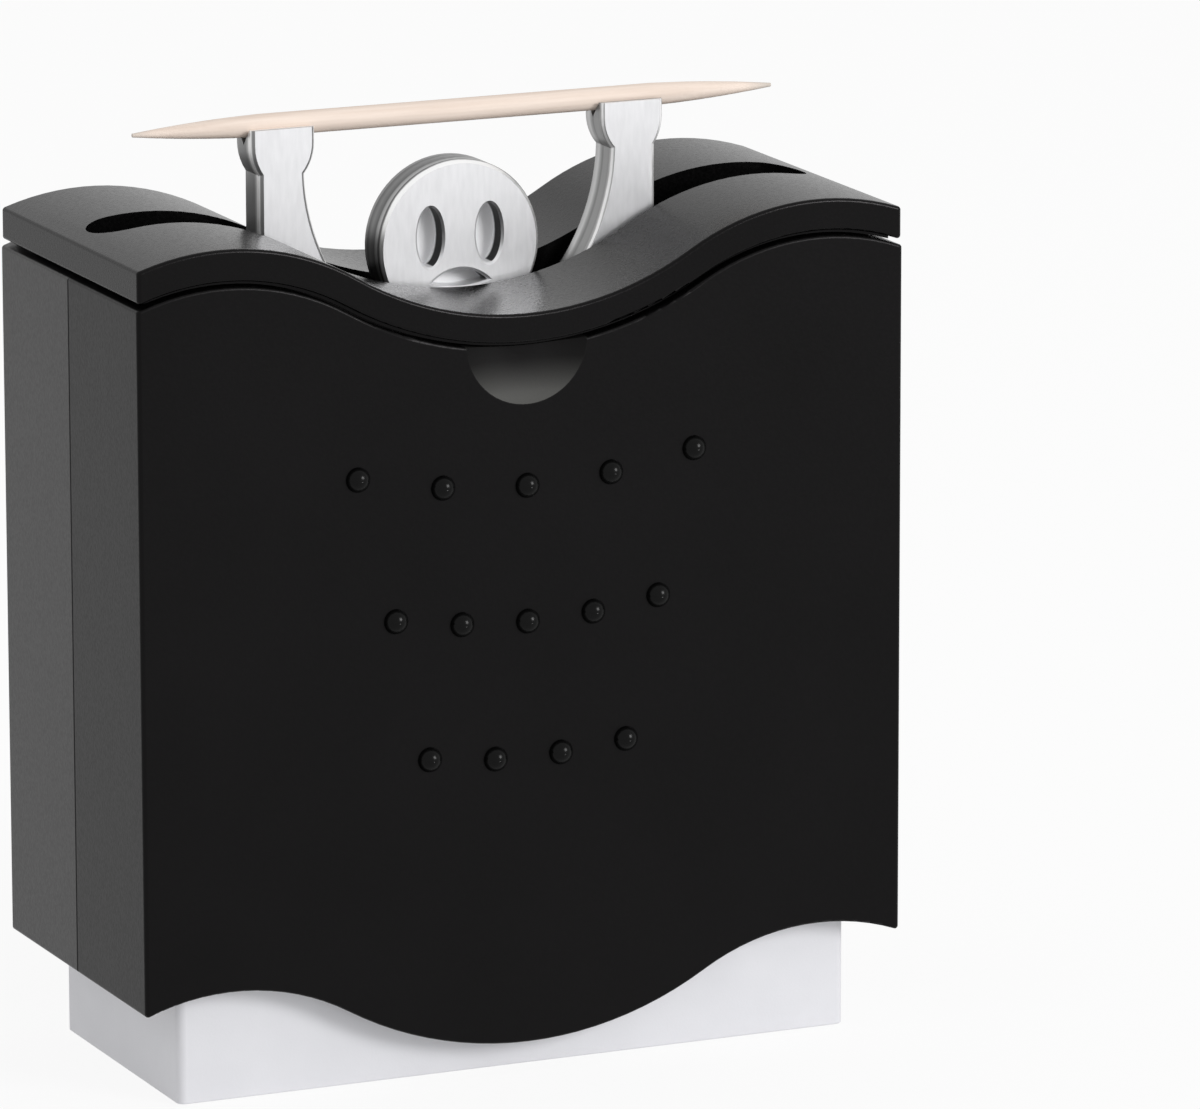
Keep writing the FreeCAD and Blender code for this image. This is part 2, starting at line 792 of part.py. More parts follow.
def flat_point(x, z):
    # a place on the plate's front face
    return point(x, -plate_half, z)


def plate_piece(edges, chamfered):
    # cut from the plate, with a chamfer along the edges that are asked for
    solid = Part.Face(Part.Wire(edges)).extrude(point(0, plate_thickness, 0))
    rims = [
        edge for edge in solid.Edges
        if edge.BoundBox.YLength < match_tolerance and chamfered(edge.BoundBox)
    ]
    return solid.makeChamfer(plate_chamfer, rims)


def hand():
    outer = hand_arc(arm_outer_x, wrist_outer_z, hand_outer_x)
    inner = hand_arc(wrist_inner_x, wrist_inner_z, hand_inner_x)
    outer_end = outer.value(outer.LastParameter)
    inner_end = inner.value(inner.LastParameter)
    edges = [
        outer.toShape(),
        Part.makeLine(outer_end, inner_end),
        inner.toShape(),
        Part.makeLine(flat_point(hand_inner_x, hand_bulge_z), flat_point(hand_inner_x, hand_top_z)),
        Part.makeLine(flat_point(hand_inner_x, hand_top_z), flat_point(hand_outer_x, hand_top_z)),
        Part.makeLine(flat_point(hand_outer_x, hand_top_z), flat_point(hand_outer_x, hand_bulge_z)),
    ]
    low_z = max(outer_end.z, inner_end.z) + match_tolerance
    return plate_piece(edges, lambda box: box.ZMax > low_z and box.ZMin < hand_top_z - match_tolerance)


def arm():
    # from the shoulder up into the hand, straight outside and bowed inside
    inner = arc_run_on(
        flat_point(crotch_x, crotch_z), flat_point(elbow_x, elbow_z),
        flat_point(wrist_inner_x, wrist_inner_z),
    )
    inner_end = inner.value(inner.LastParameter)
    edges = [
        inner.toShape(),
        Part.makeLine(inner_end, flat_point(arm_outer_x, inner_end.z)),
        Part.makeLine(flat_point(arm_outer_x, inner_end.z), flat_point(arm_outer_x, shoulder_z)),
        Part.makeLine(flat_point(arm_outer_x, shoulder_z), flat_point(crotch_x, shoulder_z)),
        Part.makeLine(flat_point(crotch_x, shoulder_z), flat_point(crotch_x, crotch_z)),
    ]
    return plate_piece(edges, lambda box: box.ZMin > shoulder_z - overrun and box.ZMax > crotch_z + overrun
                       and box.ZLength > overrun)


def torso():
    # shoulders that narrow to a stem, which is bolted into the base
    side_x = (stem_half + arm_outer_x) / 2 + side_swell
    side_z = (waist_z + shoulder_z) / 2 - side_swell
    right = [
        Part.makeLine(flat_point(0, foot_z), flat_point(stem_half, foot_z)),
        Part.makeLine(flat_point(stem_half, foot_z), flat_point(stem_half, waist_z)),
        Part.Arc(flat_point(stem_half, waist_z), flat_point(side_x, side_z),
                 flat_point(arm_outer_x, shoulder_z)).toShape(),
        Part.makeLine(flat_point(arm_outer_x, shoulder_z), flat_point(arm_outer_x, shoulder_top_z)),
        Part.makeLine(flat_point(arm_outer_x, shoulder_top_z), flat_point(0, shoulder_top_z)),
    ]
    left = [edge.mirror(point(0, 0, 0), along_x) for edge in right]
    outline = Part.Wire(Part.sortEdges(right + left)[0])
    return Part.Face(outline).extrude(point(0, plate_thickness, 0))


def head():
    disc = rod(head_radius, point(0, -plate_half, head_z), along_y, plate_thickness)
    rims = [edge for edge in disc.Edges if edge.BoundBox.YLength < match_tolerance]
    return disc.makeChamfer(plate_chamfer, rims)


def eye_recess(x):
    ellipse = Part.Ellipse(
        flat_point(x, eye_z + eye_half_height), flat_point(x + eye_half_width, eye_z), flat_point(x, eye_z)
    )
    return Part.Face(Part.Wire(ellipse.toShape())).extrude(point(0, face_recess, 0))


def mouth_outline(y, widening):
    # two arcs that meet in sharp corners
    reach = mouth_reach + widening * mouth_corner_run_share
    left = point(-reach, y, mouth_z)
    right = point(reach, y, mouth_z)
    top = point(0, y, mouth_z + mouth_top_rise + widening)
    low = point(0, y, mouth_z - mouth_low_drop - widening)
    return Part.Wire([Part.Arc(left, top, right).toShape(), Part.Arc(right, low, left).toShape()])


def mouth_recess():
    # a recess with a chamfered rim
    rim = [mouth_outline(-plate_half, face_chamfer), mouth_outline(-plate_half + face_chamfer, 0)]
    recess = Part.Face(mouth_outline(-plate_half, 0)).extrude(point(0, face_recess, 0))
    return recess.fuse(Part.makeLoft(rim, True, True))


def eye_rims(figure):
    # the outlines of the eyes on the front face
    reach = eye_reach + eye_half_width + match_tolerance
    low_z = eye_z - eye_half_height - match_tolerance
    boxes = [(edge, edge.BoundBox) for edge in figure.Edges]
    return [
        edge for edge, box in boxes
        if box.YMax < -plate_half + match_tolerance and box.ZMin > low_z and max(-box.XMin, box.XMax) < reach
    ]


def hand_groove():
    # a V along the tops of both hands, where the toothpick lies
    spread = (overrun + hand_groove_depth) * hand_groove_half / hand_groove_depth
    end_x = hand_outer_x + overrun
    corners = [
        point(-end_x, 0, groove_bottom_z),
        point(-end_x, spread, hand_top_z + overrun),
        point(-end_x, -spread, hand_top_z + overrun),
    ]
    corners.append(corners[0])
    return Part.Face(Part.makePolygon(corners)).extrude(point(2 * end_x, 0, 0))


def lifter_figure():
    plate = torso().multiFuse([head()] + both_ends(arm) + both_ends(hand))
    bolts = [
        rod(bolt_radius + screw_clearance, point(x, -plate_half - overrun, bolt_z), along_y,
            plate_thickness + 2 * overrun)
        for x in (-bolt_reach, bolt_reach)
    ]
    eyes = [eye_recess(-eye_reach), eye_recess(eye_reach)]
    figure = plate.cut([hand_groove()] + eyes + bolts).removeSplitter()
    return figure.makeChamfer(face_chamfer, eye_rims(figure)).cut(mouth_recess())


def figure_bracket():
    # angle under the deck: its web carries the figure's foot, its flange meets the deck
    near = plate_half
    web = block(-bracket_half, bracket_half, near, near + bracket_thickness, bracket_web_z, deck_under_z)
    flange_z = deck_under_z - bracket_thickness
    flange = block(-bracket_half, bracket_half, near, near + bracket_flange, flange_z, deck_under_z)
    holes = []
    for x in (-bolt_reach, bolt_reach):
        holes.append(rod(bolt_radius + screw_clearance, point(x, near - overrun, bolt_z), along_y,
                         bracket_thickness + 2 * overrun))
        holes.append(rod(screw_radius + screw_clearance,
                         point(x, bracket_screw_y(), flange_z - overrun),
                         along_z, bracket_thickness + 2 * overrun))
    return web.fuse(flange).cut(holes).removeSplitter()


def bracket_screws():
    screws = []
    for x in (-bolt_reach, bolt_reach):
        screw = headed_screw(screw_radius, screw_head_radius, screw_head_height,
                             base_wall + bracket_thickness + screw_tip)
        screw.rotate(point(0, 0, 0), along_x, 180)
        screw.translate(point(x, bracket_screw_y(), base_deck_z))
        screws.append(screw)
    return Part.makeCompound(screws)


def figure_bolts():
    length = bolt_head_height + plate_thickness + bracket_thickness + nut_height + bolt_tip
    bolts = []
    for x in (-bolt_reach, bolt_reach):
        bolt = headed_screw(bolt_radius, bolt_head_radius, bolt_head_height, length)
        bolt.rotate(point(0, 0, 0), along_x, -90)
        bolt.translate(point(x, -plate_half - bolt_head_height, bolt_z))
        bolts.append(bolt)
    return Part.makeCompound(bolts)


def figure_nuts():
    corner_radius = nut_flat_width / 2 / math.cos(math.pi / nut_sides)
    start_y = plate_half + bracket_thickness
    nuts = []
    for x in (-bolt_reach, bolt_reach):
        turns = [2 * math.pi * number / nut_sides for number in range(nut_sides)]
        corners = [
            point(x + corner_radius * math.cos(turn), start_y, bolt_z + corner_radius * math.sin(turn))
            for turn in turns
        ]
        corners.append(corners[0])
        nut = Part.Face(Part.makePolygon(corners)).extrude(point(0, nut_height, 0))
        nuts.append(nut.cut(rod(bolt_radius + screw_clearance, point(x, start_y - overrun, bolt_z),
                                along_y, nut_height + 2 * overrun)))
    return Part.makeCompound(nuts)


def hopper_tray():
    slope_run = hopper_half_y - hopper_side_wall - trough_half
    slope_rise = hopper_shoulder_z - trough_z
    drop = hopper_side_wall * math.hypot(slope_run, slope_rise) / slope_run
    under_z = trough_z - hopper_floor_thickness
    foot_y = trough_half + (under_z - trough_z + drop) * slope_run / slope_rise
    shoulder_low_z = hopper_shoulder_z - drop + hopper_side_wall * slope_rise / slope_run

    def section(x, corners):
        right = [point(x, y, z) for y, z in corners]
        left = [point(x, -y, z) for y, z in reversed(corners)]
        return Part.Face(Part.makePolygon(right + left + right[:1]))

    outside = section(-hopper_half_x, [
        (hopper_half_y, hopper_rim_z), (hopper_half_y, shoulder_low_z), (foot_y, under_z),
    ]).extrude(point(2 * hopper_half_x, 0, 0))
    end_half_y = inner_half_y - lid_frame_clearance - lid_frame_wall - hopper_side_clearance
    ends = both_ends(lambda: block(
        hopper_inner_half_x, hopper_half_x, -end_half_y, end_half_y,
        hopper_rim_z - overrun, hopper_end_rim_z,
    ))
    tabs = [
        block(x_low, x_high, y_low, y_high, hopper_tab_z, hopper_tab_z + hopper_tab_height)
        for x_low, x_high in ((hopper_half_x - embed, inner_half_x - hopper_side_clearance),
                              (-inner_half_x + hopper_side_clearance, -hopper_half_x + embed))
        for y_low, y_high in ((hopper_tab_near, hopper_tab_far), (-hopper_tab_far, -hopper_tab_near))
    ]
    inside = section(-hopper_inner_half_x, [
        (hopper_half_y - hopper_side_wall, hopper_end_rim_z + overrun),
        (hopper_half_y - hopper_side_wall, hopper_shoulder_z), (trough_half, trough_z),
    ]).extrude(point(2 * hopper_inner_half_x, 0, 0))
    gate = block(-gate_half_x, gate_half_x, -gate_half_y, gate_half_y, under_z - overrun, trough_z + overrun)
    return outside.multiFuse(ends + tabs).cut([inside, gate]).removeSplitter()


def toothpick():
    # a round stick whose ends swell out of their points in a gentle curve
    half = pick_length / 2
    body_half = half - pick_taper
    bulge = (pick_radius - pick_tip_radius) * pick_swell_share
    middle_x = half - pick_taper / 2
    middle_r = (pick_radius + pick_tip_radius) / 2 + bulge
    profile = Part.Wire([
        Part.makeLine(point(-half, 0, 0), point(-half, 0, pick_tip_radius)),
        Part.Arc(
            point(-half, 0, pick_tip_radius), point(-middle_x, 0, middle_r),
            point(-body_half, 0, pick_radius),
        ).toShape(),
        Part.makeLine(point(-body_half, 0, pick_radius), point(body_half, 0, pick_radius)),
        Part.Arc(
            point(body_half, 0, pick_radius), point(middle_x, 0, middle_r),
            point(half, 0, pick_tip_radius),
        ).toShape(),
        Part.makeLine(point(half, 0, pick_tip_radius), point(half, 0, 0)),
        Part.makeLine(point(half, 0, 0), point(-half, 0, 0)),
    ])
    stick = Part.Face(profile).revolve(point(0, 0, 0), along_x, 360)
    stick.translate(point(pick_shift, 0, pick_z))
    return stick


def all_nodes():
    nodes = {
        "non_slip_pad": non_slip_pad(),
        "base_plate": base_plate(),
        "base_screws": base_screws(),
        "ballast_plate": ballast_plate(),
        "base_housing": base_housing(),
        "deck_bumpers": deck_bumpers(),
        "lifter_figure": lifter_figure(),
        "figure_bracket": figure_bracket(),
        "bracket_screws": bracket_screws(),
        "figure_bolts": figure_bolts(),
        "figure_nuts": figure_nuts(),
        "guide_rail_left": guide_rail(-1),
        "guide_rail_right": guide_rail(1),
        "rail_screws": rail_screws(),
        "front_shell": front_shell(),
        "rear_shell": rear_shell(),
        "hopper_tray": hopper_tray(),
        "lid": lid(),
        "toothpick": toothpick(),
    }
    for name, row in stud_rows.items():
        nodes[name] = stud_row(row)
    return nodes


os.makedirs("parts", exist_ok=True)
for name, shape in all_nodes().items():
    shape.exportStep(os.path.join("parts", name + ".step"))
    print(name, len(shape.Solids), "solids", shape.isValid(), round(shape.Volume, 1))
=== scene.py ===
import bmesh
import bpy
import math
from mathutils import Matrix, Vector


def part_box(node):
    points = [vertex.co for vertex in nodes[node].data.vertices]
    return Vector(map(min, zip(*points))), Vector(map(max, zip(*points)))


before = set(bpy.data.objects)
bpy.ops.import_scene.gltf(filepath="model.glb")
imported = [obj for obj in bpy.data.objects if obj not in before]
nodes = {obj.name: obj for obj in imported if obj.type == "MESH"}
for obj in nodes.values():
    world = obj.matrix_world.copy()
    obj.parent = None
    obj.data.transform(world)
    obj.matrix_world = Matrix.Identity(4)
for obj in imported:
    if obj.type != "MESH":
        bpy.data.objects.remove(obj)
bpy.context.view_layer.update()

# Camera: a long lens from the front left, a little above the lid, as the photograph was taken.
# Its place was fitted to measured points of the object.
lens_mm = 285.53
sensor_mm = 36.0
near_clip = 0.05
far_clip = 30.0
aim = Vector((0.01268, -0.00566, 0.04634))
camera_turn = math.radians(-24.05)
camera_rise = math.radians(12.82)
camera_roll = math.radians(-0.1)
camera_distance = 0.9005

towards_camera = Vector((
    math.sin(camera_turn) * math.cos(camera_rise),
    -math.cos(camera_turn) * math.cos(camera_rise),
    math.sin(camera_rise),
))
camera_data = bpy.data.cameras.new("camera")
camera_data.lens = lens_mm
camera_data.sensor_width = sensor_mm
camera_data.clip_start = near_clip
camera_data.clip_end = far_clip
camera = bpy.data.objects.new("camera", camera_data)
bpy.context.scene.collection.objects.link(camera)
camera.rotation_mode = "QUATERNION"
level = (-towards_camera).to_track_quat("-Z", "Y")
camera.rotation_quaternion = level @ Matrix.Rotation(camera_roll, 3, "Z").to_quaternion()
camera.location = aim + towards_camera * camera_distance
bpy.context.scene.camera = camera
bpy.context.scene.view_settings.view_transform = "Standard"

# Studio: an even white room. It shows white to the camera and in reflections, and lights the
# object softly from every side, together with one soft box at the front right.
room_colour = (1.0, 1.0, 1.0, 1.0)
room_light = 0.62
room_white = 1.0
key_direction = Vector((0.50, -0.79, 0.35)).normalized()
key_distance = 1.2
key_size = 0.4
key_power = 7.8


def worked(tree, operation, first, second=0.0):
    # one operation on two values: each is a number, or the socket that it comes from
    step = tree.nodes.new("ShaderNodeMath")
    step.operation = operation
    for place, value in enumerate((first, second)):
        if isinstance(value, float):
            step.inputs[place].default_value = value
        else:
            tree.links.new(value, step.inputs[place])
    return step.outputs[0]


def ranged(tree, value, from_low, from_high, to_low, to_high):
    # a value between two limits, moved between two others and held there
    step = tree.nodes.new("ShaderNodeMapRange")
    step.inputs["From Min"].default_value = from_low
    step.inputs["From Max"].default_value = from_high
    step.inputs["To Min"].default_value = to_low
    step.inputs["To Max"].default_value = to_high
    tree.links.new(value, step.inputs["Value"])
    return step.outputs["Result"]


def seen_directly(tree):
    # 1 for what is seen, also in a reflection or through glass, and 0 for what only gives light
    path = tree.nodes.new("ShaderNodeLightPath")
    seen = worked(tree, "MAXIMUM", path.outputs["Is Camera Ray"], path.outputs["Is Glossy Ray"])
    return worked(tree, "MAXIMUM", seen, path.outputs["Is Transmission Ray"])


world = bpy.data.worlds.new("white_room")
bpy.context.scene.world = world
world.use_nodes = True
room_tree = world.node_tree
room_walls = room_tree.nodes["Background"]
room_walls.inputs["Color"].default_value = room_colour
room_tree.links.new(
    ranged(room_tree, seen_directly(room_tree), 0.0, 1.0, room_light, room_white),
    room_walls.inputs["Strength"],
)
world.cycles.sampling_method = "NONE"

key_lamp = bpy.data.lights.new("key_light", "AREA")
key_lamp.shape = "SQUARE"
key_lamp.size = key_size
key_lamp.energy = key_power
key_light = bpy.data.objects.new("key_light", key_lamp)
bpy.context.scene.collection.objects.link(key_light)
key_light.location = aim + key_direction * key_distance
key_light.rotation_mode = "QUATERNION"
key_light.rotation_quaternion = key_direction.to_track_quat("Z", "Y")

# Table: a plain white top, which carries the object's soft shadow. Where it is seen, most of it
# glows by itself, so that it stays as white as the room behind it.
table_reach = 4.0
table_colour = (0.93, 0.93, 0.93, 1.0)
table_roughness = 0.9
table_white_share = 0.9


def new_finish(name, **values):
    # a material with plain values on its shader's sockets
    material = bpy.data.materials.new(name)
    material.use_nodes = True
    shader = material.node_tree.nodes["Principled BSDF"]
    for socket, value in values.items():
        shader.inputs[socket.replace("_", " ")].default_value = value
    return material, material.node_tree, shader


table_top = bmesh.new()
bmesh.ops.create_grid(table_top, x_segments=1, y_segments=1, size=table_reach)
table_mesh = bpy.data.meshes.new("table")
table_top.to_mesh(table_mesh)
table_top.free()
table = bpy.data.objects.new("table", table_mesh)
bpy.context.scene.collection.objects.link(table)
white_top, table_tree, table_shader = new_finish(
    "white_table_top", Base_Color=table_colour, Roughness=table_roughness, Specular_IOR_Level=0.0
)
table_glow = table_tree.nodes.new("ShaderNodeEmission")
table_glow_share = worked(table_tree, "MULTIPLY", seen_directly(table_tree), table_white_share)
table_mix = table_tree.nodes.new("ShaderNodeMixShader")
table_tree.links.new(table_glow_share, table_mix.inputs["Fac"])
table_tree.links.new(table_shader.outputs["BSDF"], table_mix.inputs[1])
table_tree.links.new(table_glow.outputs["Emission"], table_mix.inputs[2])
table_tree.links.new(table_mix.outputs["Shader"], table_tree.nodes["Material Output"].inputs["Surface"])
table_mesh.materials.append(white_top)

# Rubber pieces: the non-slip pad glued under the base plate, with a tread of small round dots, and
# the four buttons pressed into the deck, which the lowered case lands on. Black moulded rubber.
rubber_dark = (0.016, 0.016, 0.016)
rubber_worn = (0.028, 0.027, 0.026)
rubber_gloss = 0.3
rubber_roughness = (0.7, 0.9)
pore_fineness = 4000.0
tread_pitch = 0.0016
tread_dot_slope = (0.25, 0.4)
tread_depth = 0.0003
noise_spread = (0.3, 0.7)


def speckle(tree, fineness, detail=3.0, stretch=(1.0, 1.0, 1.0)):
    # noise in the piece's own coordinates: the fineness is in grains to the metre
    place = tree.nodes.new("ShaderNodeTexCoord")
    mapping = tree.nodes.new("ShaderNodeMapping")
    mapping.inputs["Scale"].default_value = stretch
    texture = tree.nodes.new("ShaderNodeTexNoise")
    texture.inputs["Scale"].default_value = fineness
    texture.inputs["Detail"].default_value = detail
    tree.links.new(place.outputs["Object"], mapping.inputs["Vector"])
    tree.links.new(mapping.outputs["Vector"], texture.inputs["Vector"])
    return texture.outputs["Fac"]


def noisy(tree, noise, low, high):
    # a noise spread out between two values, because most of it lies near its middle
    return ranged(tree, noise, *noise_spread, low, high)


def two_tone(tree, share, first, second):
    # a colour between two: each is three numbers, or the socket that it comes from
    mix = tree.nodes.new("ShaderNodeMix")
    mix.data_type = "RGBA"
    tree.links.new(share, mix.inputs["Factor"])
    for socket, colour in (("A", first), ("B", second)):
        if isinstance(colour, tuple):
            mix.inputs[socket].default_value = (*colour, 1.0)
        else:
            tree.links.new(colour, mix.inputs[socket])
    return mix.outputs["Result"]


def mottled(tree, noise, first, second):
    # two colours in the patches of a noise
    return two_tone(tree, noisy(tree, noise, 0.0, 1.0), first, second)


def paint(tree, shader, colour, roughness):
    # the sockets that a finish's colour and its roughness come from
    tree.links.new(colour, shader.inputs["Base Color"])
    tree.links.new(roughness, shader.inputs["Roughness"])


def emboss(tree, shader, height, depth, share=1.0):
    # relief of a given depth in metres
    bump = tree.nodes.new("ShaderNodeBump")
    bump.inputs["Strength"].default_value = share
    bump.inputs["Distance"].default_value = depth
    tree.links.new(height, bump.inputs["Height"])
    tree.links.new(bump.outputs["Normal"], shader.inputs["Normal"])


def dress(material, *names):
    # the finish goes on the pieces that are made of it
    for name in names:
        nodes[name].material_slots[0].material = material


black_rubber, rubber_tree, rubber_shader = new_finish("black_rubber", Specular_IOR_Level=rubber_gloss)
pores = speckle(rubber_tree, pore_fineness)
paint(
    rubber_tree, rubber_shader, mottled(rubber_tree, pores, rubber_dark, rubber_worn),
    noisy(rubber_tree, pores, *rubber_roughness),
)
tread_place = rubber_tree.nodes.new("ShaderNodeTexCoord")
tread = rubber_tree.nodes.new("ShaderNodeTexVoronoi")
tread.voronoi_dimensions = "2D"
tread.inputs["Scale"].default_value = 1.0 / tread_pitch
tread.inputs["Randomness"].default_value = 0.0
rubber_tree.links.new(tread_place.outputs["Object"], tread.inputs["Vector"])
tread_dots = ranged(rubber_tree, tread.outputs["Distance"], *tread_dot_slope, 1.0, 0.0)
emboss(rubber_tree, rubber_shader, tread_dots, tread_depth)
dress(black_rubber, "non_slip_pad", "deck_bumpers")

# Base: the housing is a box moulded open below, and the plate closes it. Both are plastic with a
# silver coat, whose fine metal flakes turn each a little way from the next.
silver_bright = (0.74, 0.74, 0.77)
silver_dull = (0.71, 0.71, 0.74)
silver_metal_share = 0.25
silver_roughness = (0.36, 0.5)
coat_cloud_fineness = 160.0
flake_fineness = 5200.0
flake_depth = 0.00001
silver_coat, silver_tree, silver_shader = new_finish("silver_coat", Metallic=silver_metal_share)
coat_cloud = speckle(silver_tree, coat_cloud_fineness, detail=5.0)
flakes = speckle(silver_tree, flake_fineness, detail=2.0)
paint(
    silver_tree, silver_shader, mottled(silver_tree, coat_cloud, silver_dull, silver_bright),
    noisy(silver_tree, flakes, *silver_roughness),
)
emboss(silver_tree, silver_shader, flakes, flake_depth, share=0.6)
dress(silver_coat, "base_housing", "base_plate")

# Ballast plate, bracket and guide rails: cut from rolled steel and left bare, with the faint lines
# of the rolling along them.
steel_bright = (0.52, 0.52, 0.53)
steel_dull = (0.36, 0.355, 0.35)
steel_roughness = (0.3, 0.5)
rolling_fineness = 2600.0
rolling_stretch = (0.04, 1.0, 0.04)
rolling_depth = 0.00001
rolled_steel, steel_tree, steel_shader = new_finish("rolled_steel", Metallic=1.0)
rolling = speckle(steel_tree, rolling_fineness, detail=4.0, stretch=rolling_stretch)
paint(
    steel_tree, steel_shader, mottled(steel_tree, rolling, steel_dull, steel_bright),
    noisy(steel_tree, rolling, *steel_roughness),
)
emboss(steel_tree, steel_shader, rolling, rolling_depth, share=0.5)
dress(rolled_steel, "ballast_plate", "figure_bracket", "guide_rail_left", "guide_rail_right")

# Screws, bolts and nuts: steel, bought in and turned home with a driver. Their thin zinc plate is
# bluish in places and yellowish in others.
zinc_blue = (0.55, 0.58, 0.62)
zinc_yellow = (0.62, 0.59, 0.50)
zinc_roughness = (0.22, 0.38)
zinc_cloud_fineness = 700.0
zinc_crystal_fineness = 3800.0
zinc_plate, zinc_tree, zinc_shader = new_finish("zinc_plate", Metallic=1.0)
zinc_cloud = speckle(zinc_tree, zinc_cloud_fineness)
zinc_crystals = speckle(zinc_tree, zinc_crystal_fineness)
paint(
    zinc_tree, zinc_shader, mottled(zinc_tree, zinc_cloud, zinc_blue, zinc_yellow),
    noisy(zinc_tree, zinc_crystals, *zinc_roughness),
)
dress(zinc_plate, "base_screws", "bracket_screws", "figure_bolts", "figure_nuts", "rail_screws")

# Figure: one thick metal plate with a satin face and chamfers. Its sawn edge has painted reflections:
# dark, grey and pale bands across its thickness, a painted highlight along the front chamfer, and a
# different set of bands on each arm. The eyes and the mouth are milled in: their floors are white,
# and the walls above and on the right of them have painted shade in black.
figure_low, figure_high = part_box("lifter_figure")
plate_half = (figure_high.y - figure_low.y) / 2
head_z = 0.0765
recess_reach = 0.0068
recess_blend = 0.0002
arm_reach = 0.0125
arm_blend = 0.001
face_bright = (0.79, 0.79, 0.805)
face_dull = (0.74, 0.74, 0.755)
floor_white = (0.95, 0.95, 0.965)
wall_pale = (0.80, 0.80, 0.81)
# painted shade: the recess walls that face left and down are black, the others pale
painted_shade_black = (0.004, 0.004, 0.004)
wall_shade_from = (-0.94, 0.0, -0.34)
wall_shade_limits = (0.05, 0.2)
face_turn_limits = (0.8, 0.95)
face_metal_share = 0.46
arm_metal_share = 0.5
satin_roughness = (0.32, 0.40)
satin_fineness = 2400.0
satin_stretch = (1.0, 1.0, 0.2)
satin_depth = 0.000006
band_wander_fineness = 900.0
band_wander_stretch = (0.15, 1.0, 0.15)
band_wander = 0.012
# the sawn edge's painted reflections: the tone of each band at its share of the thickness from the
# front; the pale band near the front is a painted highlight on the chamfer
head_reflection_bands = (
    (0.00, 0.92), (0.06, 0.92), (0.09, 0.10), (0.14, 0.08), (0.18, 0.38), (0.30, 0.26),
    (0.35, 0.08), (0.60, 0.17), (0.76, 0.09), (0.82, 0.22), (0.93, 0.24), (1.00, 0.06),
)
right_arm_reflection_bands = (
    (0.000, 0.50), (0.018, 0.50), (0.028, 1.00), (0.058, 1.00), (0.075, 0.44),
    (0.140, 0.26), (0.250, 0.30), (0.420, 0.30), (0.500, 0.18), (0.600, 0.32),
    (0.720, 0.62), (0.860, 0.54), (1.000, 0.16),
)
left_arm_reflection_bands = (
    (0.00, 0.26), (0.045, 0.26), (0.07, 0.92), (0.18, 1.00), (0.26, 0.44), (0.38, 0.20),
    (0.74, 0.24), (0.93, 0.30), (1.00, 0.50),
)
chamfer_bands = ((0.00, 1.00), (0.05, 1.00), (0.065, 0.00), (1.00, 0.00))
floor_bands = ((0.00, 0.00), (0.40, 0.00), (0.48, 1.00), (0.62, 1.00), (0.70, 0.00), (1.00, 0.00))


def axes_of(tree, kind):
    # the three numbers of a point's place, or of the way that its surface faces
    source = tree.nodes.new("ShaderNodeTexCoord")
    parts = tree.nodes.new("ShaderNodeSeparateXYZ")
    tree.links.new(source.outputs[kind], parts.inputs["Vector"])
    return parts.outputs["X"], parts.outputs["Y"], parts.outputs["Z"]


def within_round(tree, centre_z, reach, blend):
    # 1 within a circle seen from the front, round a point of the middle line, and 0 outside it
    place = tree.nodes.new("ShaderNodeTexCoord")
    flat = tree.nodes.new("ShaderNodeVectorMath")
    flat.operation = "MULTIPLY"
    flat.inputs[1].default_value = (1.0, 0.0, 1.0)
    apart = tree.nodes.new("ShaderNodeVectorMath")
    apart.operation = "DISTANCE"
    apart.inputs[1].default_value = (0.0, 0.0, centre_z)
    tree.links.new(place.outputs["Object"], flat.inputs[0])
    tree.links.new(flat.outputs["Vector"], apart.inputs[0])
    return ranged(tree, apart.outputs["Value"], reach, reach + blend, 1.0, 0.0)


def banded(tree, value, bands):
    # grey bands across the plate, each at its share of the thickness
    ramp = tree.nodes.new("ShaderNodeValToRGB")
    stops = ramp.color_ramp.elements
    for stop, (share, tone) in zip(stops, (bands[0], bands[-1])):
        stop.position = share
        stop.color = (tone, tone, tone, 1.0)
    for share, tone in bands[1:-1]:
        stops.new(share).color = (tone, tone, tone, 1.0)
    tree.links.new(value, ramp.inputs["Fac"])
    return ramp.outputs["Color"]


figure_metal, figure_tree, figure_shader = new_finish("satin_figure_metal")

# where a point of the figure lies: on its face, in a recess, on an arm, and how deep in the plate
figure_x, figure_y = axes_of(figure_tree, "Object")[:2]
face_turn = worked(figure_tree, "ABSOLUTE", axes_of(figure_tree, "Normal")[1])
on_face = ranged(figure_tree, face_turn, *face_turn_limits, 0.0, 1.0)
in_recess = within_round(figure_tree, head_z, recess_reach, recess_blend)
from_middle = worked(figure_tree, "ABSOLUTE", figure_x)
on_arm = ranged(figure_tree, from_middle, arm_reach - arm_blend, arm_reach, 0.0, 1.0)
on_left_arm = ranged(figure_tree, figure_x, -arm_reach, -arm_reach + arm_blend, 1.0, 0.0)
through_plate = ranged(figure_tree, figure_y, -plate_half, plate_half, 0.0, 1.0)
on_floor = banded(figure_tree, through_plate, floor_bands)
on_chamfer = banded(figure_tree, through_plate, chamfer_bands)

# the face, the walls and floors of the recesses, with painted shade on the walls, and the sawn edge
# with painted reflections
satin = speckle(figure_tree, satin_fineness, stretch=satin_stretch)
face_tone = mottled(figure_tree, satin, face_dull, face_bright)
floor_tone = two_tone(figure_tree, on_floor, face_tone, floor_white)
